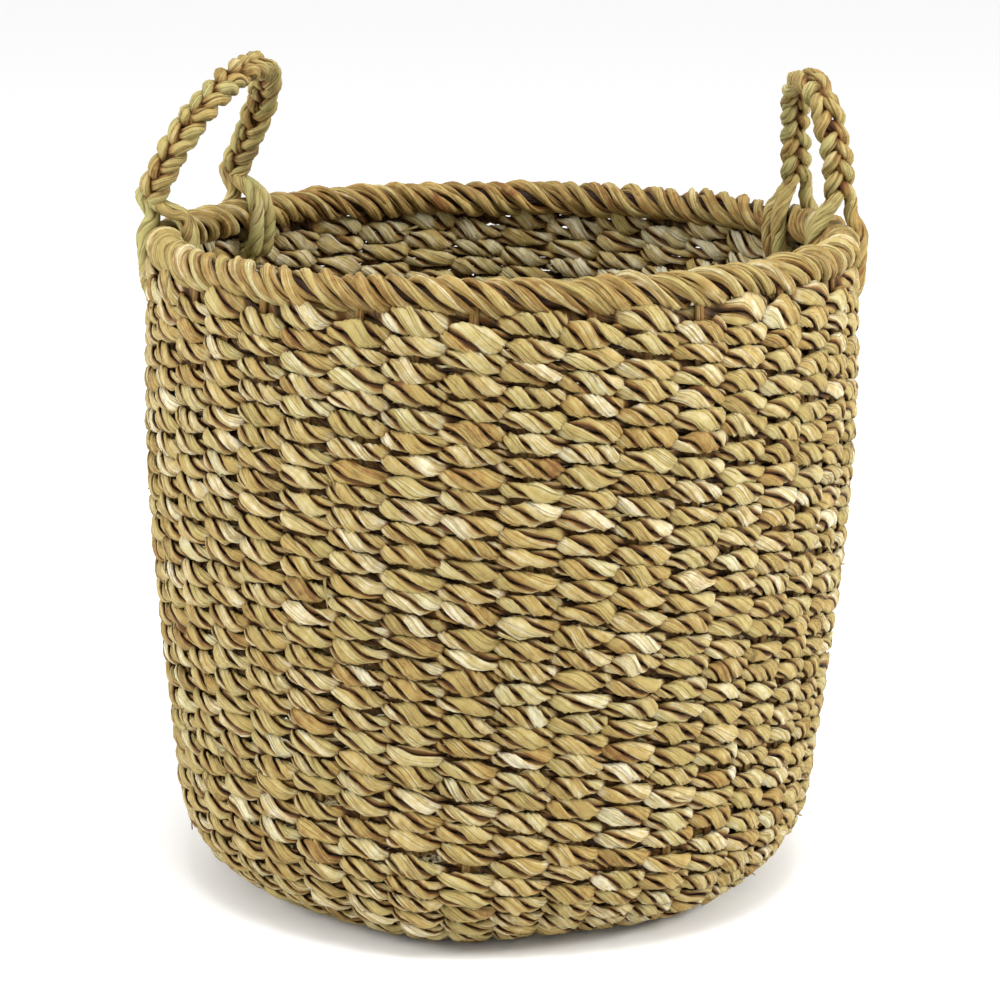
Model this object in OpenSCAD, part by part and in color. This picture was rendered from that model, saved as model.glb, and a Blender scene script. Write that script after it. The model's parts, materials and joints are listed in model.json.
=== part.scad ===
// Round storage basket, woven from twisted seagrass strands round upright stakes,
// with a rolled border and two braided loop handles. Millimetres, +Z up, origin on
// the floor in the middle of the base.

/* [Body] */
// Height from the floor to the top of the rolled border
body_h = 406; // [340:1:460]
// Outer radius of the wall at the top
rim_r = 215; // [190:1:240]
// Outer radius that the wall would have at the floor with a square corner
foot_r = 191.5; // [175:0.5:205]
// How far the wall bulges out between the floor and the rim
bulge = 10; // [0:0.5:16]
// How much the bulge leans towards the upper half
bulge_rise = 1.8; // [0:0.1:3]
// Outer radius of the rounded corner between base and wall
corner_r = 59; // [50:1:70]

/* [Weave] */
// Number of upright stakes
stakes = 40; // [24:4:42]
// Width of one stake, along the wall
stake_w = 4.4; // [3:0.2:5]
// Thickness of one stake, through the wall
stake_t = 3; // [2:0.2:4]
// Thickness of one strand of a course
strand_t = 5; // [4:0.2:6]
// Height of one course, an outer and an inner row, measured along the wall
course_height = 13.4; // [11:0.2:15]
// Gap between neighbouring courses
course_gap = 0.8; // [0.5:0.1:2]
// Radius of the knotted mat in the middle of the base
mat_r = 31; // [30:1:40]

/* [Border] */
// Diameter of the rolled border
border_d = 23; // [18:1:28]

/* [Handles] */
// Diameter of a braided handle
braid_d = 17; // [14:0.5:20]
// Direction of the left handle, counter-clockwise from +X
left_azimuth = 161; // [150:1:175]
// Direction of the right handle, counter-clockwise from +X
right_azimuth = 14; // [5:1:30]
// Half of the angle between the two feet of the left handle
left_half_spread = 17; // [15:0.5:20]
// Half of the angle between the two feet of the right handle
right_half_spread = 12; // [11:0.5:18]
// Height of the left loop's centre line above its fold line
left_loop_h = 82; // [75:1:100]
// Height of the right loop's centre line above its fold line
right_loop_h = 66; // [65:1:100]
// Inward lean of the left handle at rest
left_lean = 25; // [0:1:40]
// Inward lean of the right handle at rest
right_lean = 2; // [0:1:40]
// Width of the strands that hold a handle's foot on the border
foot_w = 14; // [10:1:18]
// Thickness of the strands that hold a handle's foot on the border
foot_t = 4; // [3:0.5:5]
// How far those strands reach down below the top of the border
foot_drop = 56; // [45:1:70]

/* [Hidden] */
$fn = 96;
// Clearance between pieces that lie against each other
fit = 0.3;
// Clearance under a handle that folds
fold_fit = 0.6;
// Chamfer on the edges of a strand
strand_chamfer = 1.6;
// How far the strands above the base sit back, so that only the base meets the floor
corner_lift = 0.4;
// The knob at each end of a loop is a little fatter than the braid
knob_r = braid_d / 2 + 0.4;

wall_t = 2 * strand_t + stake_t + 2 * fit;
inner_strand_depth = strand_t + stake_t + 2 * fit;
border_r = border_d / 2;
border_z = body_h - border_r;
foot_low = body_h - foot_drop;
strap_r = border_r + fold_fit;
border_path_r = wall_r(foot_low) + fit - strap_r;
fold_z = body_h + fold_fit + foot_t + fold_fit + knob_r;

base_len = foot_r - corner_r;
corner_len = corner_r * PI / 2;
path_len = base_len + corner_len + body_h - border_d - corner_r;
course_count = round((path_len - mat_r) / course_height);
pitch = (path_len - mat_r) / course_count;
base_count = floor((base_len - mat_r) / pitch);
wall_count = course_count - base_count;
corner_steps = 12;
wall_steps = 10;

left_rear = left_azimuth - left_half_spread;
left_front = left_azimuth + left_half_spread;
right_rear = right_azimuth + right_half_spread;
right_front = right_azimuth - right_half_spread;

// Outer radius of the wall at height z, without the rounded corner.
function wall_r(z) = foot_r + (rim_r - foot_r) * z / body_h
    + bulge * sin(180 * z / body_h) - bulge_rise * sin(360 * z / body_h);

// A point [radius, height] on the outer surface, s millimetres along it from the
// middle of the base: flat base, rounded corner, then wall.
function on_corner(phi) =
    let (z = corner_r * (1 - cos(phi))) [wall_r(z) - corner_r * (1 - sin(phi)), z];
function on_wall(z) = [wall_r(z), z];
function outer(s) =
    s < base_len ? [s, 0]
    : s < base_len + corner_len ? on_corner((s - base_len) / corner_len * 90)
    : on_wall(corner_r + s - base_len - corner_len);

// Direction along the surface at s, and the direction into the basket.
function along(s) = let (d = outer(s + 0.5) - outer(s - 0.5)) d / norm(d);
function inward(s) = let (t = along(s)) [-t.y, t.x];
function at_depth(s, depth) = outer(s) + depth * inward(s);

function course_s(i) = mat_r + (i - 0.5) * pitch;
function padded(i) = i < 10 ? str("0", i) : str(i);
function base_name(i) = str("base_course_", i);
function wall_name(i) = str("wall_course_", padded(i));

// One strand of a course: a flat, chamfered band that lies along the surface,
// its outer face `depth` inside the outer surface.
module strand_ring(s, depth) {
    inner = depth + strand_t;
    half = norm(at_depth(s + pitch / 2, inner) - at_depth(s - pitch / 2, inner)) / 2
        - course_gap / 2;
    cut = half - strand_chamfer;
    rotate_extrude()
        polygon([for (p = [[-cut, depth], [cut, depth],
                           [half, depth + strand_chamfer], [half, inner - strand_chamfer],
                           [cut, inner], [-cut, inner],
                           [-half, inner - strand_chamfer], [-half, depth + strand_chamfer]])
            outer(s) + p[0] * along(s) + p[1] * inward(s)]);
}

// A course is two strands, one outside and one inside the stakes.
module course(s) {
    lift = s > base_len - pitch / 2 ? corner_lift : 0;
    strand_ring(s, lift);
    strand_ring(s, inner_strand_depth);
}

module base_course(i) {
    color("#b39a63") course(course_s(i));
}

module wall_course(i) {
    color(i % 2 == 0 ? "#b8a06c" : "#a68c59") course(course_s(base_count + i));
}

// The knotted start of the base: a round mat with a flat underside.
module base_mat() {
    r = mat_r - fit;
    edge = 2;
    color("#9c8350")
        rotate_extrude()
            polygon([[0, 0], [r - edge, 0], [r, edge], [r, wall_t - edge],
                     [r - edge, wall_t], [0, wall_t]]);
}

// The line of a stake, `depth` inside the outer surface, from base to border.
function stake_line(depth) = concat(
    [[mat_r + fit, depth]],
    [for (k = [0:corner_steps]) at_depth(base_len + corner_len * k / corner_steps, depth)],
    [for (k = [1:wall_steps])
        at_depth(base_len + corner_len
            + (path_len - fit - base_len - corner_len) * k / wall_steps, depth)]);

function reversed(list) = [for (k = [len(list) - 1:-1:0]) list[k]];

// The stakes run out along the base, bend up round the corner and end in the border.
module stakes() {
    outer_face = stake_line(strand_t + fit);
    inner_face = stake_line(strand_t + fit + stake_t);
    color("#7d6a3f")
        for (k = [0:stakes - 1])
            rotate([0, 0, (k + 0.5) * 360 / stakes])
                rotate([90, 0, 0])
                    linear_extrude(height = stake_w, center = true)
                        polygon(concat(outer_face, reversed(inner_face)));
}

// The ends of the stakes, rolled over into one thick round edge.
module rolled_border() {
    color("#b1945a")
        rotate_extrude()
            translate([border_path_r, border_z])
                circle(r = border_r);
}

// An arch over the border, of the given radius, with both ends foot_drop down.
function strap_arch(r) = concat(
    [[border_path_r + r, foot_low]],
    [for (a = [0:10:180]) [border_path_r + r * cos(a), border_z + r * sin(a)]],
    [[border_path_r - r, foot_low]]);

// The strands that part at the foot of a handle and straddle the border, one lot
// outside the wall and one lot inside it.
module foot(azimuth) {
    color("#9c8c63")
        rotate([0, 0, azimuth])
            rotate([90, 0, 0])
                linear_extrude(height = foot_w, center = true)
                    polygon(concat(strap_arch(strap_r + foot_t),
                                   reversed(strap_arch(strap_r))));
}

module left_front_foot() { foot(left_front); }
module left_rear_foot() { foot(left_rear); }
module right_front_foot() { foot(right_front); }
module right_rear_foot() { foot(right_rear); }

// A braided loop: two legs and a half circle, standing on its fold line between
// two feet and leaning inwards.
module loop_handle(azimuth, half_spread, loop_h, lean) {
    half_chord = border_path_r * sin(half_spread);
    leg = loop_h - half_chord;
    color("#9c8c63")
        rotate([0, 0, azimuth])
            translate([border_path_r * cos(half_spread), 0, fold_z])
                rotate([0, -lean, 0]) {
                    translate([0, 0, leg])
                        rotate([90, 0, 90])
                            rotate_extrude(angle = 180)
                                translate([half_chord, 0])
                                    circle(d = braid_d);
                    for (side = [-1, 1])
                        translate([0, side * half_chord, 0]) {
                            cylinder(d = braid_d, h = leg);
                            sphere(r = knob_r);
                        }
                }
}

module left_handle() {
    loop_handle(left_azimuth, left_half_spread, left_loop_h, left_lean);
}

module right_handle() {
    loop_handle(right_azimuth, right_half_spread, right_loop_h, right_lean);
}

base_mat();
for (i = [1:base_count])
    base_course(i);
for (i = [1:wall_count])
    wall_course(i);
stakes();
rolled_border();
left_front_foot();
left_rear_foot();
right_front_foot();
right_rear_foot();
left_handle();
right_handle();
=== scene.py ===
import json
import math

import bpy
import numpy as np
from bpy.props import FloatProperty, FloatVectorProperty, IntProperty, PointerProperty
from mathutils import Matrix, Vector


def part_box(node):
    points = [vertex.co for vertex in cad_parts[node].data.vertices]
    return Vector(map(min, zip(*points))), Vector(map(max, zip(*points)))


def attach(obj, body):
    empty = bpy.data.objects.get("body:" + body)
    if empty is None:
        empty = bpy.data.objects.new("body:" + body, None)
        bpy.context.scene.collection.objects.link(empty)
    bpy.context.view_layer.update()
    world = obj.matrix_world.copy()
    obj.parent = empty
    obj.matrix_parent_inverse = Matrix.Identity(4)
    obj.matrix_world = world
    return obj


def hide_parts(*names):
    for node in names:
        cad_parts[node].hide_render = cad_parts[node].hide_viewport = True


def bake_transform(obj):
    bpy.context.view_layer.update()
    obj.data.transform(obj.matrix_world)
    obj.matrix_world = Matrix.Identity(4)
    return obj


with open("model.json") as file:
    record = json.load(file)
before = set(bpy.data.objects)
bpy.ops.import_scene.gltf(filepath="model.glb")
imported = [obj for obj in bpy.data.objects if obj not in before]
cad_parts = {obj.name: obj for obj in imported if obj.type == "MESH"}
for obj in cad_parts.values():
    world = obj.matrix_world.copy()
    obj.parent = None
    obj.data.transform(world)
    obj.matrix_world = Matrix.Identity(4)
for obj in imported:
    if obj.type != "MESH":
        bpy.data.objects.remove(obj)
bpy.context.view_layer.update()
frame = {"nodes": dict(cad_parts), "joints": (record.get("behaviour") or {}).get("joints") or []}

bl_info = {
    "name": "Seagrass basket",
    "version": (1, 0, 0),
    "blender": (4, 5, 0),
    "location": "View3D > Sidebar > Basket",
    "description": "Weaves a round seagrass basket around its packed frame",
    "category": "Object",
}

TURN = 2 * math.pi
BASKET = "basket"

# Lengths in metres, and directions in radians from +X
LEAF_GIRTH = 0.004          # radius of the cylinder that a leaf's fibres are laid out on
FOOT_IN = -0.010            # the furthest in that a handle's foot can be set
FOURS_UNTIL = 0.070         # radius on the base where bundles of four stakes part
PAIRS_UNTIL = 0.110         # radius on the base where pairs of stakes part
STAKE_GAP = 0.0036          # distance between the stakes of a bundle
TAIL_SPREAD = 0.0058        # sideways step of the handle strands inside the border
LEAF_TURN = 0.048           # length of one turn of the leaves in a handle strand
BRAID_EDGE = 0.0050         # distance from the middle of a braid to its outer leaves
FRONT, FRONT_RIGHT = -1.74, -0.85
PAINTED_SHADE = 0.92                 # how strong the painted shade is where the weave is deepest, from 0 to 1
TOP_STRETCH = 1.22          # how much higher the last course is, to meet the border

# Name, place, size in metres, watts and colour of each studio light
LIGHTS = (
    ("key", (2.4, -0.6, 1.4), 0.8, 50, (1.0, 0.99, 0.97)),
    ("fill", (-2.4, -0.7, 1.3), 1.0, 36, (1.0, 1.0, 1.0)),
    ("top", (0.1, -0.8, 2.4), 1.0, 36, (1.0, 1.0, 1.0)),
)


def paint(red, green, blue):
    """An 8-bit screen colour as the linear colour that the shaders use."""
    def linear(level):
        level /= 255
        return level / 12.92 if level <= 0.04045 else ((level + 0.055) / 1.055) ** 2.4
    return (linear(red), linear(green), linear(blue))


def length_setting(name, description, default, least=0.0):
    return FloatProperty(name=name, description=description, default=default,
                         min=least, subtype="DISTANCE", unit="LENGTH", precision=5)


def colour_setting(name, description, default):
    return FloatVectorProperty(name=name, description=description, default=default,
                               size=3, min=0.0, max=1.0, subtype="COLOR")


# ---------------------------------------------------------------- settings

class WeaveSettings(bpy.types.PropertyGroup):
    stakes: IntProperty(
        name="Stakes", description="Upright stakes round the wall", default=40, min=12)
    strand_depth: length_setting(
        "Strand depth", "Thickness of a strand through the wall, over a stake", 0.0056)
    stitch_height: length_setting(
        "Stitch height", "Height of a strand where it lies over a stake", 0.0128)
    pinch_height: length_setting(
        "Pinch height", "Height of a strand where it passes between two stakes", 0.0090)
    stitch_fall: length_setting(
        "Stitch fall", "How far a strand falls while it lies over a stake", 0.0016)
    twist_length: length_setting(
        "Twist length", "Length of one full turn of a two-ply strand", 0.038)
    ring_step: length_setting(
        "Ring step", "Distance between the rings of points along a leaf", 0.0030)
    unevenness: length_setting(
        "Unevenness", "How far a course wanders up and down", 0.0007)
    sway: length_setting(
        "Sway", "How far the wall as a whole is out of round", 0.0014)
    lean: length_setting(
        "Lean", "How far the border has shifted to the right over the base", 0.0065)
    base_shift: length_setting(
        "Base shift", "How far the base has shifted to the left", 0.0025)
    slump: length_setting(
        "Slump", "How far the rounded corner sags out at the front", 0.013)
    loose_ends: IntProperty(
        name="Loose ends", description="Leaf ends that stick out of the weave",
        default=70, min=0)
    seed: IntProperty(name="Seed", description="Which basket of many this is", default=11)


class BorderSettings(bpy.types.PropertyGroup):
    bundles: IntProperty(
        name="Bundles", description="Bundles of leaf side by side in the roll", default=4)
    turns: IntProperty(
        name="Turns", description="Times that each bundle goes round the roll", default=22)
    bulge: length_setting(
        "Bulge", "How far single leaves stand in or out of the roll", 0.0010)
    inset: length_setting(
        "Inset", "How far the roll is drawn in towards the middle of the basket", 0.0015)


class HandleSettings(bpy.types.PropertyGroup):
    repeat: length_setting("Repeat", "Length of one full repeat of the braid", 0.034)
    braid_width: length_setting("Braid width", "Width of the braid", 0.0205)
    braid_depth: length_setting("Braid depth", "Thickness of the braid", 0.0140)
    strand_radius: length_setting("Strand radius", "Half the width of one braid strand", 0.0041)
    left_front_out: length_setting(
        "Left front foot out", "How far that foot stands outside the border's middle", 0.0085,
        FOOT_IN)
    left_rear_out: length_setting(
        "Left rear foot out", "How far that foot stands outside the border's middle", 0.0085,
        FOOT_IN)
    right_front_out: length_setting(
        "Right front foot out", "How far that foot stands outside the border's middle", 0.0,
        FOOT_IN)
    right_rear_out: length_setting(
        "Right rear foot out", "How far that foot stands outside the border's middle", 0.0,
        FOOT_IN)
    left_bend: length_setting(
        "Left bend", "How far the left loop's top bends in over the mouth", 0.0075)
    right_bend: length_setting(
        "Right bend", "How far the right loop's top bends in over the mouth", 0.007)
    foot_reach: length_setting(
        "Foot reach", "How far the strands run down from the fold line", 0.066)


class ColourSettings(bpy.types.PropertyGroup):
    cream: colour_setting("Cream", "The palest, sun-bleached leaf", paint(208, 199, 170))
    pale: colour_setting("Pale", "Pale leaf", paint(184, 167, 122))
    straw: colour_setting("Straw", "The common leaf", paint(166, 143, 84))
    tan: colour_setting("Tan", "Leaf that has ripened brown", paint(151, 122, 65))
    brown: colour_setting("Brown", "Stained leaf and old leaf edges", paint(116, 74, 32))
    green: colour_setting("Green", "Leaf that dried while it was green", paint(164, 162, 104))
    # Painted shade: warm darkening towards the sides of each leaf and the deep places of the
    # weave
    edge: colour_setting("Edge", "Warm tint towards the edges of a leaf", paint(196, 150, 96))
    # Painted shade in the creases along each leaf
    crease: colour_setting("Crease", "Tint of the creases along a leaf", paint(140, 98, 52))
    # Painted shade: the colour that the deep places between the leaves and the backs of leaves
    # are darkened towards
    shade: colour_setting("Shade", "Dirt between the leaves", paint(30, 17, 4))
    floor: colour_setting("Floor", "The studio floor", paint(248, 248, 248))
    sky: colour_setting("Surroundings", "The studio walls", paint(255, 255, 255))


class StageSettings(bpy.types.PropertyGroup):
    distance: length_setting("Distance", "From the camera to the basket's axis", 2.051)
    height: length_setting("Height", "Of the camera above the floor", 0.702)
    tilt: FloatProperty(name="Tilt", description="How far the camera looks down",
                        default=math.radians(12.89), subtype="ANGLE", unit="ROTATION")
    lens: FloatProperty(name="Lens", description="Focal length, for a 36 mm sensor",
                        default=122.1, min=10, subtype="DISTANCE_CAMERA")
    shift: FloatProperty(name="Shift", description="Sideways shift of the lens",
                         default=0.0034)


SETTINGS = {
    "basket_weave": WeaveSettings,
    "basket_border": BorderSettings,
    "basket_handles": HandleSettings,
    "basket_colours": ColourSettings,
    "basket_stage": StageSettings,
}


# ---------------------------------------------------------------- shader maths

class Value:
    """A number socket, with the arithmetic that adds Math nodes."""

    def __init__(self, tree, socket):
        self.tree = tree
        self.socket = socket

    def maths(self, operation, *operands):
        made = self.tree.nodes.new("ShaderNodeMath")
        made.operation = operation
        for socket, operand in zip(made.inputs, operands):
            if isinstance(operand, Value):
                self.tree.links.new(operand.socket, socket)
            else:
                socket.default_value = operand
        return Value(self.tree, made.outputs[0])

    def __add__(self, other):
        return self.maths("ADD", self, other)

    def __radd__(self, other):
        return self.maths("ADD", other, self)

    def __sub__(self, other):
        return self.maths("SUBTRACT", self, other)

    def __rsub__(self, other):
        return self.maths("SUBTRACT", other, self)

    def __mul__(self, other):
        return self.maths("MULTIPLY", self, other)

    def __rmul__(self, other):
        return self.maths("MULTIPLY", other, self)

    def __gt__(self, other):
        return self.maths("GREATER_THAN", self, other)

    def __abs__(self):
        return self.maths("ABSOLUTE", self)


class Finish:
    """A material and the one method that adds any node but a Math node to it."""

    def __init__(self, name):
        self.material = bpy.data.materials.new(name)
        self.material.use_nodes = True
        self.tree = self.material.node_tree
        self.tree.nodes.clear()

    def node(self, kind, settings=None, sockets=None):
        made = self.tree.nodes.new(kind)
        for name, setting in (settings or {}).items():
            if name == "stops":
                self.set_stops(made.color_ramp, setting)
            else:
                setattr(made, name, setting)
        for key, source in (sockets or {}).items():
            socket = made.inputs[key]
            if isinstance(source, Value):
                self.tree.links.new(source.socket, socket)
            elif isinstance(source, bpy.types.NodeSocket):
                self.tree.links.new(source, socket)
            else:
                socket.default_value = source
        return made

    @staticmethod
    def set_stops(ramp, stops):
        while len(ramp.elements) < len(stops):
            ramp.elements.new(1.0)
        for element, (place, colour) in zip(ramp.elements, stops):
            element.position = place
            element.color = (*colour, 1.0)

    def number(self, node, output):
        return Value(self.tree, node.outputs[output])

    def attribute(self, name):
        return self.node("ShaderNodeAttribute", {"attribute_name": name})

    def noise(self, vector, scale, detail=2.0, roughness=0.5):
        made = self.node("ShaderNodeTexNoise", {}, {
            "Vector": vector, "Scale": scale, "Detail": detail, "Roughness": roughness})
        return self.number(made, "Fac")

    def mix(self, share, first, second, blend="MIX"):
        made = self.node("ShaderNodeMix", {"data_type": "RGBA", "blend_type": blend},
                         {0: share, 6: first, 7: second})
        return made.outputs[2]

    def scaled(self, vector, scale):
        made = self.node("ShaderNodeVectorMath", {"operation": "MULTIPLY"},
                         {0: vector, 1: scale})
        return made.outputs[0]

    def mapped(self, value, low, high, first, last):
        """From first, where the value is low or less, to last, where it is high."""
        made = self.node("ShaderNodeMapRange", {"clamp": True}, {
            "Value": value, "From Min": low, "From Max": high,
            "To Min": first, "To Max": last})
        return self.number(made, "Result")

    def bump(self, height, strength, distance):
        made = self.node("ShaderNodeBump", {}, {
            "Strength": strength, "Distance": distance, "Height": height})
        return made.outputs["Normal"]

    def finished(self, colour, roughness, normal, specular):
        surface = self.node("ShaderNodeBsdfPrincipled", {}, {
            "Base Color": colour, "Roughness": roughness, "Normal": normal,
            "Specular IOR Level": specular})
        self.node("ShaderNodeOutputMaterial", {}, {"Surface": surface.outputs["BSDF"]})
        return self.material


# ---------------------------------------------------------------- materials

def seagrass(slot, green_share=0.32, shift=0.0):
    """Dry seagrass leaf: a tone of its own for every leaf, fibres and creases along
    it, brown stains, and painted shade: darker where the weave is deep, on the sides
    and back of each leaf and in its creases."""
    name = slot + "_leaf"
    if name in bpy.data.materials:
        return bpy.data.materials[name]
    colours = bpy.context.scene.basket_colours
    finish = Finish(name)
    leaf = finish.attribute("leaf").outputs["Vector"]
    tone = finish.number(finish.attribute("tone"), "Fac")
    hue = finish.number(finish.attribute("hue"), "Fac")
    depth = finish.number(finish.attribute("depth"), "Fac")
    place = finish.node("ShaderNodeTexCoord").outputs["Object"]

    fibres = finish.noise(finish.scaled(leaf, (26, 1100, 1100)), 1.0, 3.0, 0.6)
    ribs = finish.noise(finish.scaled(leaf, (11, 420, 420)), 1.0, 2.0)
    blotches = finish.noise(place, 170.0, 4.0, 0.6)
    stains = finish.noise(finish.scaled(leaf, (75, 230, 230)), 1.0, 3.0)

    folds = finish.noise(finish.scaled(leaf, (13, 260, 260)), 1.0, 1.0)
    crease = finish.mapped(abs(folds - 0.5), 0.003, 0.022, 1.0, 0.0)
    flap = folds > 0.5

    shade = tone + shift + (fibres - 0.5) * 0.60 + (ribs - 0.5) * 0.70 \
        + (blotches - 0.5) * 0.80 + (flap - 0.5) * 0.13
    ramp = finish.node("ShaderNodeValToRGB", {"stops": [
        (0.04, colours.brown), (0.28, colours.tan), (0.50, colours.straw),
        (0.72, colours.pale), (0.93, colours.cream)]}, {"Fac": shade})
    greened = finish.mix(hue * green_share, ramp.outputs["Color"], (*colours.green, 1.0))
    stain = finish.mapped(stains, 0.60, 0.74, 0.0, 0.6)
    stained = finish.mix(stain, greened, (*colours.brown, 1.0))
    # Painted shade: a warm multiply towards the sides of each leaf and the deep places of the
    # weave
    edge = finish.mapped(depth, 0.35, 0.85, 1.0, 0.0)
    edge_shaded = finish.mix(edge, stained, (*colours.edge, 1.0), "MULTIPLY")
    # Painted shade in the creases, as a quarter-strength multiply
    crease_shaded = finish.mix(crease * 0.25, edge_shaded, (*colours.crease, 1.0), "MULTIPLY")
    # Painted shade: mixed towards the shade colour where the weave is deep and on the sides and
    # backs of the leaves
    deep = finish.mapped(depth, 0.06, 0.60, PAINTED_SHADE, 0.0)
    coloured = finish.mix(deep, crease_shaded, (*colours.shade, 1.0))

    rough = 0.50 + fibres * 0.28
    height = fibres * 0.45 + ribs - crease * 0.55 + flap * 0.30
    return finish.finished(coloured, rough, finish.bump(height, 0.9, 0.0012), 0.26)


def studio_floor():
    """Plain matt white paper, with the least tooth."""
    colours = bpy.context.scene.basket_colours
    finish = Finish("studio_paper")
    place = finish.node("ShaderNodeTexCoord").outputs["Object"]
    tooth = finish.noise(place, 900.0, 2.0)
    return finish.finished((*colours.floor, 1.0), 0.9, finish.bump(tooth, 0.05, 0.0002), 0.1)


# ---------------------------------------------------------------- leaf meshes

def unit(vectors):
    return vectors / np.linalg.norm(vectors, axis=-1, keepdims=True)


def around(radius, theta, height):
    """Points at these radii, directions and heights."""
    radius, theta, height = np.broadcast_arrays(radius, theta, height)
    return np.stack([radius * np.cos(theta), radius * np.sin(theta), height], axis=1)


def waves(rng, places, low, high, count=9):
    """Smooth noise of about unit size: a sum of whole waves, so a ring closes."""
    total = np.zeros_like(places)
    for _ in range(count):
        cycles = rng.integers(low, high + 1)
        total += np.cos(cycles * places + rng.uniform(0, TURN))
    return total * math.sqrt(2 / count)


def lobe(places, middle, width):
    return np.exp(-((places - middle) / width) ** 2)


def settled(points, weave, top):
    """Where points of a true, round basket lie on this one: it leans a little, is out
    of round, sags out low at the front and the right, and the floor presses the lowest
    leaves flat."""
    x, y, z = points[:, 0], points[:, 1], points[:, 2]
    radius, theta = np.hypot(x, y), np.arctan2(y, x)
    rise = np.clip(z / top, 0, 1)
    outer = np.clip(radius / 0.12, 0, 1)
    sway = weave.sway * rise * outer * (
        0.6 * np.sin(2 * theta + 1.1) + 0.5 * np.sin(3 * theta - 0.4)
        + 0.35 * np.sin(7 * theta + 9 * z) + 0.25 * np.sin(11 * theta - 17 * z))
    front = lobe(theta, FRONT, 0.30) * lobe(z, 0, 0.055)
    front_right = 0.5 * lobe(theta, FRONT_RIGHT, 0.34) * lobe(z, 0, 0.060)
    right = 0.20 * lobe(theta, 0, 0.80) * lobe(z, 0.11, 0.10)
    sag = weave.slump * (front + front_right + right) * np.clip((radius - 0.08) / 0.07, 0, 1)
    moved = 1 + (sway + sag) / np.maximum(radius, 0.001)
    leaning = 0.5 * weave.lean * (1 - np.cos(math.pi * rise)) - weave.base_shift
    return np.stack([x * moved + leaning, y * moved, np.maximum(z, 0.0002)], axis=1)


class Leaves:
    """Collects leaves as rings of points and turns them into one mesh. The first
    point of a ring is on the leaf's crown, and the opposite one is on its back."""

    SIDES = 8

    def __init__(self, rng):
        self.rng = rng
        self.angles = np.arange(self.SIDES) * TURN / self.SIDES
        # Crown: full on the first points of a ring, less on the sides and none on the back, so
        # that the sides and back of each leaf get painted shade
        self.crown = np.clip(0.80 + 0.85 * np.cos(self.angles), 0, 1)
        self.points, self.faces = [], []
        self.leaf, self.tone, self.hue, self.depth = [], [], [], []
        self.used = 0

    def add(self, rings, tone, hue, depth, closed=False):
        """rings is (count, SIDES, 3). Tone, hue and depth are numbers or one value per
        ring, and depth may have one per point."""
        count = len(rings)
        numbers = self.used + np.arange(count * self.SIDES).reshape(count, self.SIDES)
        following = np.roll(numbers, -1, axis=0) if closed else numbers[1:]
        first = numbers if closed else numbers[:-1]
        quads = np.stack([first, np.roll(first, -1, axis=1),
                          np.roll(following, -1, axis=1), following], axis=-1)
        self.faces.extend(quads.reshape(-1, 4).tolist())
        if not closed:
            self.faces.append(numbers[0][::-1].tolist())
            self.faces.append(numbers[-1].tolist())
        middles = rings.mean(axis=1)
        steps = np.linalg.norm(np.diff(middles, axis=0), axis=1)
        along = np.concatenate([[0.0], np.cumsum(steps)]) + self.rng.uniform(0, 40)
        leaf = np.empty((count, self.SIDES, 3))
        leaf[..., 0] = along[:, None]
        leaf[..., 1] = LEAF_GIRTH * np.cos(self.angles)
        leaf[..., 2] = LEAF_GIRTH * np.sin(self.angles)
        self.points.append(rings.reshape(-1, 3))
        self.leaf.append(leaf.reshape(-1, 3))
        spread = np.ones((count, self.SIDES))
        deep = np.asarray(depth, float)
        deep = deep[:, None] if deep.ndim == 1 else deep
        self.tone.append((spread * np.reshape(tone, (-1, 1))).ravel())
        self.hue.append((spread * np.reshape(hue, (-1, 1))).ravel())
        # Shade depth per point: the given depth times the crown, which the leaf material turns
        # into painted shade
        self.depth.append((spread * deep * self.crown).ravel())
        self.used += count * self.SIDES

    def build(self, name, material, slot):
        scene = bpy.context.scene
        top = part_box("rolled_border")[1].z
        points = settled(np.concatenate(self.points), scene.basket_weave, top)
        mesh = bpy.data.meshes.new(name)
        mesh.from_pydata(points.tolist(), [], self.faces)
        mesh.polygons.foreach_set("use_smooth", np.ones(len(mesh.polygons), bool))
        for label, parts in (("tone", self.tone), ("hue", self.hue), ("depth", self.depth)):
            attribute = mesh.attributes.new(label, "FLOAT", "POINT")
            attribute.data.foreach_set("value", np.concatenate(parts).astype(np.float32))
        attribute = mesh.attributes.new("leaf", "FLOAT_VECTOR", "POINT")
        attribute.data.foreach_set("vector", np.concatenate(self.leaf).ravel())
        mesh.materials.append(material)
        mesh.update()
        piece = bpy.data.objects.new(name, mesh)
        scene.collection.objects.link(piece)
        return piece


def leaf_tones(rng, count, leaf_run=5):
    """A tone and a hue for each of `count` stretches: a leaf's own, and a change
    where it turns over."""
    leaves = count // leaf_run + 2
    own_tone = np.repeat(rng.beta(3.2, 2.8, leaves), leaf_run)[:count]
    own_hue = np.repeat(rng.uniform(0, 1, leaves) ** 1.6, leaf_run)[:count]
    turned = rng.normal(0, 0.10, count)
    return np.clip(0.30 + 0.44 * own_tone + turned, 0, 1), own_hue


def ribbon(line, outward, half_width, half_depth, angles, soft=0.85):
    """Rings of points round a line: rounded boxes with their crowns outward."""
    forward = unit(np.gradient(line, axis=0))
    out = unit(outward - forward * np.sum(outward * forward, axis=1, keepdims=True))
    aside = np.cross(forward, out)
    shape = (len(line), len(angles))
    half_width = np.broadcast_to(np.reshape(half_width, (-1, 1)), shape)
    half_depth = np.broadcast_to(np.reshape(half_depth, (-1, 1)), shape)
    over = np.sign(np.cos(angles)) * np.abs(np.cos(angles)) ** soft
    across = np.sign(np.sin(angles)) * np.abs(np.sin(angles)) ** soft
    return (line[:, None] + out[:, None] * (half_depth * over)[..., None]
            + aside[:, None] * (half_width * across)[..., None])


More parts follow.
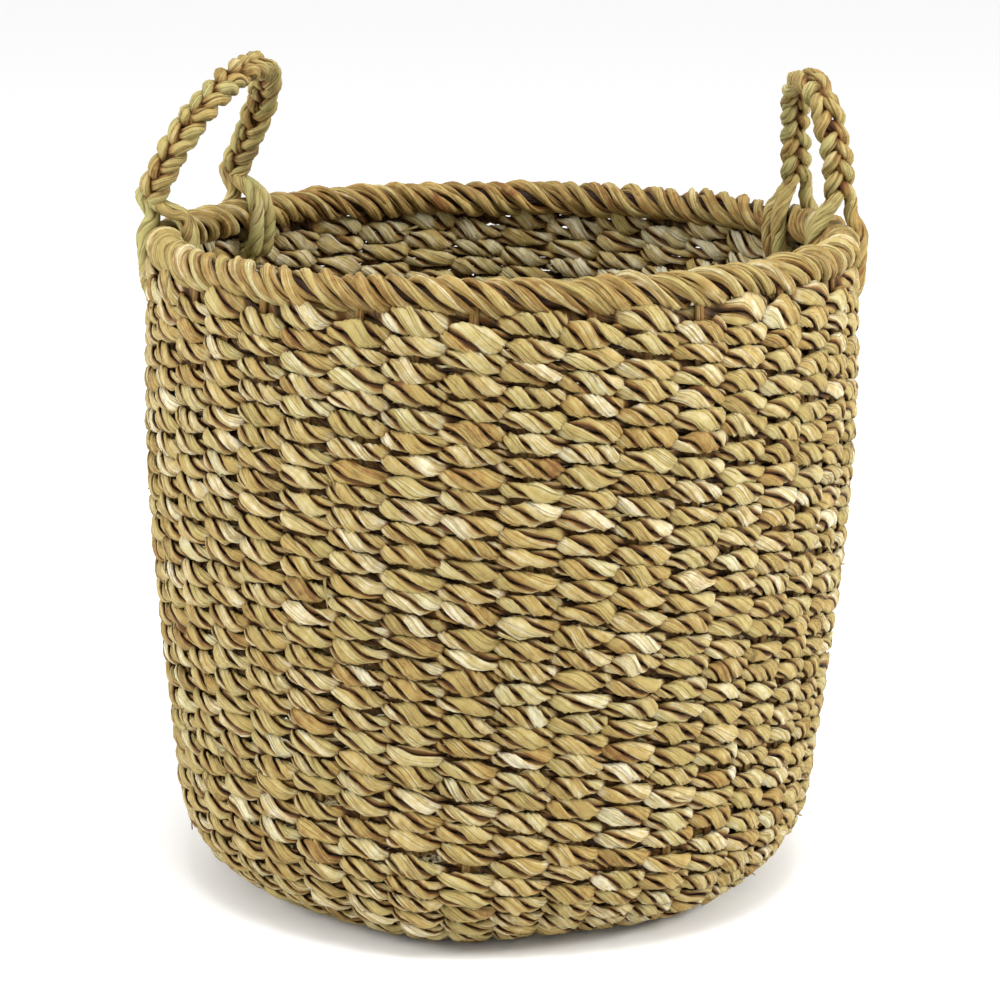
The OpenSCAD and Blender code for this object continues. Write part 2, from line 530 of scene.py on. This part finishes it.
def closed_ribbon(line, outward, half_width, half_depth, angles):
    """A ribbon round a line that closes on itself."""
    wrapped = [np.concatenate([part[-1:], part, part[:1]])
               for part in (line, outward, half_width, half_depth)]
    return ribbon(*wrapped, angles)[1:-1]


def resampled(line, step):
    """The same line with its points `step` apart."""
    lengths = np.concatenate([[0], np.cumsum(np.linalg.norm(np.diff(line, axis=0), axis=1))])
    count = max(int(round(lengths[-1] / step)), 3)
    places = np.linspace(0, lengths[-1], count + 1)
    return np.stack([np.interp(places, lengths, line[:, k]) for k in range(3)], axis=1)


def smooth_line(points, per_span=8):
    """A Catmull-Rom curve through the points."""
    points = np.asarray(points, float)
    padded = np.concatenate([[2 * points[0] - points[1]], points,
                             [2 * points[-1] - points[-2]]])
    curve = []
    for a, b, c, d in zip(padded, padded[1:], padded[2:], padded[3:]):
        for t in np.arange(per_span) / per_span:
            curve.append(0.5 * (2 * b + (c - a) * t + (2 * a - 5 * b + 4 * c - d) * t ** 2
                                + (3 * b - a - 3 * c + d) * t ** 3))
    curve.append(points[-1])
    return np.array(curve)


# ---------------------------------------------------------------- the frame

def cad_points(node):
    mesh = frame["nodes"][node].data
    points = np.empty(len(mesh.vertices) * 3, np.float32)
    mesh.vertices.foreach_get("co", points)
    return points.reshape(-1, 3).astype(float)


def course_nodes():
    base = sorted(n for n in frame["nodes"] if n.startswith("base_course_"))
    wall = sorted(n for n in frame["nodes"] if n.startswith("wall_course_"))
    return base, wall


def course_middle(node):
    """Radius and height of the middle of a course's two strands."""
    points = cad_points(node)
    radii = np.hypot(points[:, 0], points[:, 1])
    return np.array([(radii.min() + radii.max()) / 2,
                     (points[:, 2].min() + points[:, 2].max()) / 2])


class Wall:
    """The line of the base and wall in section, through the middle of each course."""

    def __init__(self):
        base, wall = course_nodes()
        self.nodes = base + wall
        self.base_count = len(base)
        self.middles = np.array([course_middle(node) for node in self.nodes])
        self.along = unit(np.gradient(self.middles, axis=0))
        self.along[:self.base_count - 1] = (1.0, 0.0)
        self.pitch = np.linalg.norm(np.gradient(self.middles, axis=0), axis=1)
        turning = np.gradient(np.unwrap(np.arctan2(self.along[:, 1], self.along[:, 0])))
        self.curve = turning / self.pitch
        low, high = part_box(self.nodes[0])
        self.thickness = high.z - low.z
        self.wall_pitch = float(np.median(self.pitch[self.base_count + 9:]))

    def stakes_at(self, number, all_stakes):
        """Stakes lie in fours near the middle of the base, then in pairs."""
        radius = self.middles[number, 0]
        if radius < FOURS_UNTIL:
            return all_stakes // 4
        if radius < PAIRS_UNTIL:
            return all_stakes // 2
        return all_stakes


# ---------------------------------------------------------------- weaving

def woven_leaf(leaves, wall, number, weave, rng, shared, strand, ply):
    """One ply of one strand of a course. The strand goes outside one stake and
    inside the next, half a course above or below the other strand, which does the
    opposite. Its two plies wind round each other."""
    radius, height = wall.middles[number]
    along_r, along_z = wall.along[number]
    theta, wander, stitch_size, ply_twist = shared
    stakes = wall.stakes_at(number, weave.stakes)
    squeeze = wall.pitch[number] / wall.wall_pitch
    if number == len(wall.nodes) - 1:
        squeeze *= TOP_STRETCH

    offset = 0.5 * TURN / stakes
    phase = (theta - offset) * stakes / 2 + math.pi * strand
    facing = np.tanh(2.0 * np.cos(phase)) / math.tanh(2.0)
    over = np.abs(np.cos(phase))
    out = (wall.thickness - weave.strand_depth) / 2 * facing
    level = wall.wall_pitch / 4 * (1 - 2 * strand)
    rise = level - weave.stitch_fall / 2 * np.sin(phase) + wander
    pinch, full = weave.pinch_height / 2, weave.stitch_height / 2
    half_height = (pinch + (full - pinch) * over ** 1.2) * stitch_size[strand]
    half_depth = weave.strand_depth / 2 * (1.25 - 0.25 * over)

    # A ply is an oval beside the strand's axis, rounder on its outer side
    twist = ply_twist[strand] + math.pi * ply
    angles = leaves.angles
    lumps = 1 + 0.12 * np.cos(2 * angles[None] + 2 * waves(rng, theta, 3, 60)[:, None])
    reach = np.where(np.cos(angles) > 0, 0.56, 0.42) * np.cos(angles) * lumps
    spread = 0.92 * np.sin(angles) * lumps
    swell = 1 + 0.11 * waves(rng, theta, stakes // 2, 2 * stakes)
    radial = 0.44 + reach * swell[:, None]
    sideways = spread * swell[:, None]
    cos_t, sin_t = np.cos(twist)[:, None], np.sin(twist)[:, None]
    up = half_height[:, None] * (cos_t * radial - sin_t * sideways)
    outward = half_depth[:, None] * (sin_t * radial + cos_t * sideways)

    outward = outward + out[:, None]
    up = (up + rise[:, None]) * squeeze * (1 + wall.curve[number] * outward)
    r = radius + along_r * up + along_z * outward
    z = height + along_z * up - along_r * outward
    rings = np.stack([r * np.cos(theta)[:, None], r * np.sin(theta)[:, None],
                      np.broadcast_to(z, r.shape)], axis=-1)

    # Its tone changes where it comes to the front of the strand and where it leaves it
    outside = twist / TURN + 0.055
    stretch = 2 * np.floor(outside).astype(int) + (outside % 1 > 0.61)
    stretch -= stretch.min()
    tones, hues = leaf_tones(rng, stretch.max() + 1)
    # Painted shade grows towards the middle of the wall. On the inside of the basket
    #     there is less of it, and plies on the wall's inside face get a paler tone, as painted
    #     light.
    inside_shade_cut = np.where(outward < -wall.thickness / 4, 0.16, -0.02)
    depth = np.clip((np.abs(outward) / (wall.thickness / 2) + inside_shade_cut) / 0.38, 0, 1)
    inside_painted_light = 0.18 * (facing < 0)
    # Each ply starts somewhere else, so that the seams of the fibres don't line up
    seam = rng.integers(len(theta))
    values = (rings, tones[stretch] + inside_painted_light, hues[stretch], depth)
    leaves.add(*(np.roll(value, seam, axis=0) for value in values), closed=True)


def weave_course(number, wall, weave):
    """Both strands of one course, as one piece."""
    rng = np.random.default_rng(weave.seed * 1000 + number)
    radius = wall.middles[number, 0]
    stakes = wall.stakes_at(number, weave.stakes)
    count = int(round(TURN * radius / weave.ring_step))
    theta = np.arange(count) * TURN / count
    wander = weave.unevenness * waves(rng, theta, 2, 14)
    stitch_size = [1 + 0.10 * waves(rng, theta, stakes // 4, stakes) for _ in range(2)]
    turns = round(TURN * radius / (weave.twist_length * rng.uniform(0.88, 1.14)))
    ply_twist = [turns * theta + rng.uniform(0, TURN)
                 + 0.75 * waves(rng, theta, 3, stakes // 2) for _ in range(2)]
    leaves = Leaves(rng)
    for strand in range(2):
        for ply in range(2):
            woven_leaf(leaves, wall, number, weave, rng,
                       (theta, wander, stitch_size, ply_twist), strand, ply)
    node = wall.nodes[number]
    piece = leaves.build(node + "_strands", seagrass("woven_seagrass"), "woven_seagrass")
    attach(piece, BASKET)
    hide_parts(node)


class BASKET_OT_courses(bpy.types.Operator):
    """Weave the base and wall courses"""
    bl_idname = "basket.courses"
    bl_label = "Courses"

    def execute(self, context):
        wall = Wall()
        for number in range(len(wall.nodes)):
            weave_course(number, wall, context.scene.basket_weave)
        return {"FINISHED"}


class BASKET_OT_stakes(bpy.types.Operator):
    """Lay the stakes from the base, round the corner and up into the border"""
    bl_idname = "basket.stakes"
    bl_label = "Stakes"

    def execute(self, context):
        weave = context.scene.basket_weave
        wall = Wall()
        rng = np.random.default_rng(weave.seed + 1)
        leaves = Leaves(rng)
        top = [[wall.middles[-1, 0] - 0.001, wall.middles[-1, 1] + wall.wall_pitch]]
        start = [wall.middles[0] - [wall.wall_pitch, 0]]
        section = np.concatenate([start, wall.middles, top])
        section = np.concatenate([section, np.zeros((len(section), 1))], axis=1)
        section = resampled(smooth_line(section, 4), 0.006)[:, :2]
        for stake in range(weave.stakes):
            own = (stake + 0.5) * TURN / weave.stakes
            in_four = (stake // 4 + 0.5) * 4 * TURN / weave.stakes
            in_pair = (stake // 2 + 0.5) * 2 * TURN / weave.stakes
            radius = section[:, 0]
            flat = section[:, 1] < wall.middles[0, 1] + 0.002
            reach = np.where(flat, radius, 1.0)
            share = np.interp(reach, [FOURS_UNTIL - 0.008, FOURS_UNTIL + 0.004,
                                      PAIRS_UNTIL - 0.007, PAIRS_UNTIL + 0.008],
                              [0, 0.5, 0.5, 1])
            spacing = np.minimum(STAKE_GAP / radius, TURN / weave.stakes)
            four = in_four + (stake % 4 - 1.5) * spacing
            pair = in_pair + (stake % 2 - 0.5) * spacing
            pairing = np.clip(share * 2, 0, 1)
            parting = np.clip(share * 2 - 1, 0, 1)
            theta = (four * (1 - pairing) + pair * pairing) * (1 - parting) + own * parting
            for side in (-1, 1):
                turn = theta + side * 0.0012 / radius
                line = around(radius, turn, section[:, 1])
                outward = around(1.0, turn, np.zeros_like(turn))
                size = 1 + 0.1 * waves(rng, np.linspace(0, TURN, len(line)), 2, 12)
                rings = ribbon(line, outward + [0, 0, -0.5], 0.0016 * size, 0.0013 * size,
                               leaves.angles)
                tones, hues = leaf_tones(rng, len(line), 20)
                # Shade depth 0.55: the stakes get part of the painted shade
                leaves.add(rings, tones * 0.8, hues, 0.55)
        material = seagrass("stake_seagrass", shift=-0.06)
        piece = leaves.build("stake_bundles", material, "stake_seagrass")
        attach(piece, BASKET)
        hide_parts("stakes")
        return {"FINISHED"}


class BASKET_OT_base_mat(bpy.types.Operator):
    """Weave the crossed leaves in the middle of the base"""
    bl_idname = "basket.base_mat"
    bl_label = "Base mat"

    def execute(self, context):
        weave = context.scene.basket_weave
        wall = Wall()
        rng = np.random.default_rng(weave.seed + 2)
        leaves = Leaves(rng)
        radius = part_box("base_mat")[1].x
        middle = wall.middles[0, 1]
        bundles = weave.stakes // 4
        pitch = 2 * radius / (bundles + 1.5)
        for direction in range(2):
            for bundle in range(bundles):
                place = (bundle - (bundles - 1) / 2) * pitch
                reach = math.sqrt(max(radius ** 2 - place ** 2, 0)) + 0.004
                along = np.arange(-reach, reach, 0.0012)
                lift = 0.0016 * np.cos(math.pi * (along / pitch + bundle + direction))
                for side in (-1, 1):
                    across = place + side * pitch * 0.23 + 0.0002 * waves(rng, along * 60, 1, 6)
                    height = middle + lift + rng.uniform(-0.0002, 0.0002)
                    columns = [along, across, height] if direction else [across, along, height]
                    line = np.stack(np.broadcast_arrays(*columns), axis=1)
                    upward = np.broadcast_to([0.0, 0.0, 1.0], line.shape)
                    rings = ribbon(line, upward, pitch * 0.25, 0.0014, leaves.angles)
                    tones, hues = leaf_tones(rng, len(line), 60)
                    leaves.add(rings, tones, hues, 1.0)
        piece = leaves.build("base_mat_weave", seagrass("core_seagrass"), "core_seagrass")
        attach(piece, BASKET)
        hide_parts("base_mat")
        return {"FINISHED"}


# ---------------------------------------------------------------- border

class BASKET_OT_border(bpy.types.Operator):
    """Roll the ends of the stakes into the thick slanting border"""
    bl_idname = "basket.border"
    bl_label = "Rolled border"

    def execute(self, context):
        weave = context.scene.basket_weave
        border = context.scene.basket_border
        rng = np.random.default_rng(weave.seed + 3)
        leaves = Leaves(rng)
        low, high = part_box("rolled_border")
        roll = (high.z - low.z) / 2
        ring_r = high.x - roll - border.inset
        ring_z = low.z + roll - 0.0010
        count = int(round(TURN * ring_r / weave.ring_step))
        theta = np.arange(count) * TURN / count
        shared = 0.16 * waves(rng, theta, 4, 20)
        for bundle in range(border.bundles):
            jostle = 0.12 * waves(rng, theta, 6, 26)
            start = bundle * TURN / border.bundles
            for side in (-1, 0, 1):
                spread = side * (0.31 + 0.05 * waves(rng, theta, 6, 30))
                turn = start - border.turns * theta + spread + shared + jostle
                reach = roll * (0.77 if side == 0 else 0.62) \
                    + border.bulge * waves(rng, theta, 8, 50)
                width = (0.0026 if side == 0 else 0.0018) * (
                    1 + 0.20 * waves(rng, theta, 12, 60))
                thick = roll * 0.25 * (1 + 0.14 * waves(rng, theta, 12, 60))
                line = around(ring_r + reach * np.cos(turn), theta,
                              ring_z + reach * np.sin(turn))
                outward = around(np.cos(turn + 0.5 * side), theta, np.sin(turn + 0.5 * side))
                rings = closed_ribbon(line, outward, width, thick, leaves.angles)
                stretch = np.floor(turn / TURN + 0.55).astype(int)
                stretch -= stretch.min()
                tones, hues = leaf_tones(rng, stretch.max() + 1, 2)
                # Painted shade: the back half of the border, away from the lights, is darker
                tones = tones[stretch] - 0.12 * np.clip(np.sin(theta), 0, 1)
                # The side leaves of each bundle get some painted shade
                depth = 1.0 if side == 0 else 0.66
                leaves.add(rings, tones, hues[stretch], depth, closed=True)
        # The core is painted dark, with a low tone and nearly full painted shade, so that it
        # shows as shade in the valleys between the bundles
        core = around(ring_r, theta, ring_z * np.ones(count))
        half = np.full(count, roll * 0.55)
        rings = closed_ribbon(core, around(1.0, theta, 0.0), half, half, leaves.angles)
        leaves.add(rings, 0.2, 0.0, 0.1, closed=True)
        # The border's leaf is a darker copy (shift -0.10), as painted shade on the rim
        piece = leaves.build("rolled_border_leaves", seagrass("border_seagrass", shift=-0.10),
                             "border_seagrass")
        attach(piece, BASKET)
        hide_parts("rolled_border")
        return {"FINISHED"}


# ---------------------------------------------------------------- handles

class Loop:
    """Where a handle stands: its fold line, its feet and the way it rises."""

    def __init__(self, side, handles):
        joint = next(j for j in frame["joints"] if j["name"] == side + "_handle_fold")
        self.side = side
        self.middle = np.array(joint["pos_m"], float)
        self.axis = unit(np.array(joint["axis"], float))
        self.nodes = [side + "_front_foot", side + "_rear_foot"]
        self.feet = []
        for node in self.nodes:
            low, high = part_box(node)
            centre = np.array((low + high) / 2)
            foot = self.middle + self.axis * ((centre - self.middle) @ self.axis)
            outward = unit(foot * [1, 1, 0])
            self.feet.append(foot + outward * getattr(handles, node[:-4] + "out"))
        away = cad_points(side + "_handle") - self.middle
        away -= np.outer(away @ self.axis, self.axis)
        far = away[np.argmax(np.linalg.norm(away, axis=1))]
        self.height = np.linalg.norm(far) - handles.braid_depth / 2
        self.bend = -unit(self.middle * [1, 1, 0]) * getattr(handles, side + "_bend")
        self.rise = unit(far)
        self.face = np.cross(self.axis, self.rise)
        if self.face @ self.middle < 0:
            self.face = -self.face

    def arch(self, step=0.0015):
        """The centre line of the loop, from the front foot to the rear foot."""
        centre = (self.feet[0] + self.feet[1]) / 2
        half = self.feet[0] - centre
        angle = np.linspace(0, math.pi, 400)
        wide = np.sign(np.cos(angle)) * np.abs(np.cos(angle)) ** 0.88
        tall = np.sin(angle) ** 0.88
        line = centre + np.outer(wide, half) + np.outer(tall, self.rise * self.height) \
            + np.outer(tall ** 2, self.bend)
        return resampled(line, step)


def foot_tail(foot, start, inside, spread, handles, border):
    """The way of a strand from the fold line over one side of the border and down."""
    low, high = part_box("rolled_border")
    roll = (high.z - low.z) / 2
    ring_r = high.x - roll - border.inset
    outward = unit(foot * [1, 1, 0])
    tangent = np.array([-outward[1], outward[0], 0.0])
    way = -1 if inside else 1
    clear = roll + handles.strand_radius * 0.60
    low_end = foot[2] - handles.foot_reach * (0.86 if inside else 1.0)
    # Distance from the border's middle, height, and share of the sideways spread
    places = [
        (clear * 0.62, high.z + 0.0030, 0.55),
        (clear * 0.96, high.z - roll * 0.55, 0.85),
        (clear * 1.02, high.z - roll * 1.30, 1.0),
        (clear * 0.97, high.z - roll * 2.20, 1.0),
        (clear * (0.74 if inside else 0.94), high.z - roll * 3.00, 0.9),
        (clear * (0.52 if inside else 0.86), low_end + 0.012, 0.8),
        (clear * (0.05 if inside else 0.45), low_end, 0.7),
    ]
    points = [start]
    for reach, height, parted in places:
        across = outward * (ring_r + way * reach) + tangent * spread * parted
        points.append(across + [0, 0, height])
    return points


def braid_strand(loop, strand, handles, border, rng, step):
    """The centre line of one strand: tail, braid, tail, and where the braid starts
    and stops along it."""
    arch = loop.arch()
    along = np.concatenate([[0], np.cumsum(np.linalg.norm(np.diff(arch, axis=0), axis=1))])
    share = along / along[-1]
    loose = np.sin(math.pi * share) ** 0.5
    plaits = round(along[-1] / handles.repeat)
    phase = TURN * (plaits * share + strand / 3) + math.pi / 2
    phase = phase + 0.25 * loose * waves(rng, share * TURN, 2, 9)
    forward = unit(np.gradient(arch, axis=0))
    inner = np.cross(forward, loop.face)
    half_w = handles.braid_width / 2 - handles.strand_radius
    half_d = handles.braid_depth / 2 - handles.strand_radius
    wide = half_w * np.sin(phase) + 0.0007 * loose * waves(rng, share * TURN, 3, 16)
    deep = half_d * np.sin(2 * phase) + 0.0006 * loose * waves(rng, share * TURN, 3, 16)
    line = arch + np.outer(wide, loop.face) + inner * deep[:, None]
    inside = strand > 0
    spread = (0.0, TAIL_SPREAD, -TAIL_SPREAD)[strand]
    front = foot_tail(loop.feet[0], line[0], inside, spread, handles, border)
    rear = foot_tail(loop.feet[1], line[-1], inside, -spread, handles, border)
    head = smooth_line([line[9]] + front)[8:][::-1]
    tail = smooth_line([line[-10]] + rear)[8:]
    head, line, tail = (resampled(part, step) for part in (head, line, tail))
    whole = np.concatenate([head[:-1], line, tail[1:]])
    middles = np.concatenate([head[:-1], resampled(arch, along[-1] / (len(line) - 1)), tail[1:]])
    return whole, middles[:len(whole)], len(head) - 1, len(head) - 1 + len(line) - 1


def narrowed_ends(rings, run, last, first):
    """The rings with the ends that lie inside another piece drawn in to a tip."""
    size = np.ones(len(rings))
    tip = 1 - 0.5 * np.linspace(0, 1, run + 1) ** 4 - 0.06 * np.linspace(0, 1, run + 1)
    if last:
        size[-run - 1:] = tip
    if first:
        size[:run + 1] = tip[::-1]
    middles = rings.mean(axis=1, keepdims=True)
    return middles + (rings - middles) * size[:, None, None]


def braid_handle(loop, handles, border, seed):
    """A handle in three pieces: the braided loop and the strands at its two feet."""
    step = 0.0021
    overlap = 4
    rng = np.random.default_rng(seed)
    parts = [Leaves(rng) for _ in range(3)]
    for strand in range(3):
        line, middles, start, stop = braid_strand(loop, strand, handles, border, rng, step)
        count = len(line)
        number = np.arange(count)
        forward = unit(np.gradient(line, axis=0))
        facing = np.broadcast_to(loop.face, line.shape)
        side = unit(facing - forward * np.sum(facing * forward, axis=1, keepdims=True))
        over = np.cross(forward, side)
        girth = handles.strand_radius * np.interp(
            number, [start - 10, start, stop, stop + 10], [1.22, 1, 1, 1.22])
        twist = number * step / LEAF_TURN * TURN + rng.uniform(0, TURN)
        twist = twist + 0.5 * waves(rng, number * step * 20, 1, 8)
        for leaf in range(3):
            angle = twist + leaf * TURN / 3
            outward = side * np.cos(angle)[:, None] + over * np.sin(angle)[:, None]
            noise = waves(rng, number * step * 30, 2, 12) + 0.6 * waves(
                rng, number * step * 30, 12, 30)
            shifted = line + outward * girth[:, None] * 0.50
            width = girth * 0.74 * (1 + 0.10 * noise)
            thick = girth * 0.50 * (1 - 0.08 * noise)
            rings = ribbon(shifted, outward, width, thick, parts[0].angles, 0.8)
            places = number / 11
            tones, hues = leaf_tones(rng, int(places[-1]) + 3, 2)
            tones = np.interp(places, np.arange(len(tones)), tones)
            hues = np.interp(places, np.arange(len(hues)), hues)
            # Painted shade: in the braid, darker towards its middle; in the loose strands, darker
            # near each strand's own centre line
            apart = np.linalg.norm(rings - middles[:, None], axis=2)
            braided = (number > start + 2) & (number < stop - 2)
            loose = np.clip(apart / girth[:, None] * 1.7 - 0.75, 0, 1)
            depth = np.where(braided[:, None], np.clip(apart / BRAID_EDGE - 0.60, 0, 1), loose)
            cuts = [slice(start - overlap, stop + overlap + 1), slice(0, start + 1),
                    slice(stop, count)]
            for part, cut in zip(parts, cuts):
                narrowed = narrowed_ends(rings[cut], overlap, part is not parts[2],
                                         part is not parts[1])
                part.add(narrowed, tones[cut], hues[cut], depth[cut])
    material = seagrass("braided_seagrass", green_share=0.75, shift=-0.15)
    names = [loop.side + "_handle", *loop.nodes]
    for part, node in zip(parts, names):
        piece = part.build(node + "_strands", material, "braided_seagrass")
        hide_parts(node)
        if part is parts[0]:
            start = loop.middle - [0, 0, 0.007]
            end = loop.middle + loop.rise * 0.018
            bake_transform(piece)
        else:
            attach(piece, BASKET)


class BASKET_OT_handles(bpy.types.Operator):
    """Braid both handles and lead their strands over the border"""
    bl_idname = "basket.handles"
    bl_label = "Handles"

    def execute(self, context):
        scene = context.scene
        for number, side in enumerate(("left", "right")):
            loop = Loop(side, scene.basket_handles)
            braid_handle(loop, scene.basket_handles, scene.basket_border,
                         scene.basket_weave.seed + 20 + number)
        return {"FINISHED"}


class BASKET_OT_loose_ends(bpy.types.Operator):
    """Let the ends of spliced leaves stick out of the weave"""
    bl_idname = "basket.loose_ends"
    bl_label = "Loose ends"

    def execute(self, context):
        weave = context.scene.basket_weave
        wall = Wall()
        rng = np.random.default_rng(weave.seed + 4)
        leaves = Leaves(rng)
        for _ in range(weave.loose_ends):
            number = rng.integers(wall.base_count + 2, len(wall.nodes))
            radius, height = wall.middles[number]
            along_r, along_z = wall.along[number]
            inside = rng.random() < 0.25
            theta = rng.uniform(0, TURN)
            length = rng.uniform(0.008, 0.020)
            slope = rng.normal(-0.45, 0.35)
            lift = rng.uniform(0.0004, 0.0030)
            share = np.linspace(0, 1, 9)
            turn = theta + share * length * math.cos(slope) / radius
            up = share * length * math.sin(slope)
            out = wall.thickness / 2 - 0.0040 + (0.0036 + lift) * share ** 0.7
            out = -out if inside else out
            r = radius + along_r * up + along_z * out
            line = around(r, turn, height + along_z * up - along_r * out)
            outward = around(-1.0 if inside else 1.0, turn, 0.0)
            width = rng.uniform(0.0008, 0.0014) * (1 - 0.9 * share ** 2)
            rings = ribbon(line, outward, width, 0.0004, leaves.angles, 1.0)
            tones, hues = leaf_tones(rng, len(line), 20)
            leaves.add(rings, tones - 0.1, hues, 1.0)
        piece = leaves.build("loose_leaf_ends", seagrass("woven_seagrass"), "woven_seagrass")
        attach(piece, BASKET)
        return {"FINISHED"}


# ---------------------------------------------------------------- stage

def area_light(name, place, size, watts, colour, target):
    light = bpy.data.lights.new(name, "AREA")
    light.shape = "SQUARE"
    light.size = size
    light.energy = watts
    light.color = colour
    lamp = bpy.data.objects.new(name, light)
    lamp.location = place
    aim = Vector(target) - Vector(place)
    lamp.rotation_euler = aim.to_track_quat("-Z", "Y").to_euler()
    bpy.context.scene.collection.objects.link(lamp)


class BASKET_OT_stage(bpy.types.Operator):
    """Set up the floor, the soft studio light and the camera"""
    bl_idname = "basket.stage"
    bl_label = "Stage"

    def execute(self, context):
        scene = context.scene
        stage = scene.basket_stage
        mesh = bpy.data.meshes.new("studio_floor")
        reach = 14.0
        corners = [(-reach, -reach, 0), (reach, -reach, 0), (reach, reach, 0), (-reach, reach, 0)]
        mesh.from_pydata(corners, [], [(0, 1, 2, 3)])
        mesh.materials.append(studio_floor())
        floor = bpy.data.objects.new("studio_floor", mesh)
        scene.collection.objects.link(floor)

        world = bpy.data.worlds.new("studio")
        world.use_nodes = True
        background = world.node_tree.nodes["Background"]
        background.inputs["Color"].default_value = (*scene.basket_colours.sky, 1.0)
        background.inputs["Strength"].default_value = 1.0
        scene.world = world
        middle = (0, 0, 0.22)
        for light in LIGHTS:
            area_light(*light, middle)

        camera = bpy.data.cameras.new("camera")
        camera.lens = stage.lens
        camera.sensor_width = 36
        camera.shift_x = stage.shift
        camera.clip_end = 60
        eye = bpy.data.objects.new("camera", camera)
        eye.location = (0, -stage.distance, stage.height)
        eye.rotation_euler = (math.pi / 2 - stage.tilt, 0, 0)
        scene.collection.objects.link(eye)
        scene.camera = eye
        scene.view_settings.view_transform = "Standard"
        return {"FINISHED"}


STEPS = (BASKET_OT_stage, BASKET_OT_base_mat, BASKET_OT_stakes, BASKET_OT_courses,
         BASKET_OT_border, BASKET_OT_handles, BASKET_OT_loose_ends)


class BASKET_PT_sidebar(bpy.types.Panel):
    """The settings of the basket and the steps that make it"""
    bl_idname = "BASKET_PT_sidebar"
    bl_label = "Seagrass basket"
    bl_space_type = "VIEW_3D"
    bl_region_type = "UI"
    bl_category = "Basket"

    def draw(self, context):
        for name, group in SETTINGS.items():
            box = self.layout.box()
            for field in group.__annotations__:
                box.prop(getattr(context.scene, name), field)
        for step in STEPS:
            self.layout.operator(step.bl_idname)


def register():
    for group in (*SETTINGS.values(), *STEPS, BASKET_PT_sidebar):
        bpy.utils.register_class(group)
    for name, group in SETTINGS.items():
        setattr(bpy.types.Scene, name, PointerProperty(type=group))


def unregister():
    for name in SETTINGS:
        delattr(bpy.types.Scene, name)
    for group in reversed((*SETTINGS.values(), *STEPS, BASKET_PT_sidebar)):
        bpy.utils.unregister_class(group)


def main():
    register()
    bpy.ops.basket.stage()
    bpy.ops.basket.base_mat()
    bpy.ops.basket.stakes()
    bpy.ops.basket.courses()
    bpy.ops.basket.border()
    bpy.ops.basket.handles()
    bpy.ops.basket.loose_ends()
    bpy.context.view_layer.update()


if __name__ == "__main__":
    main()
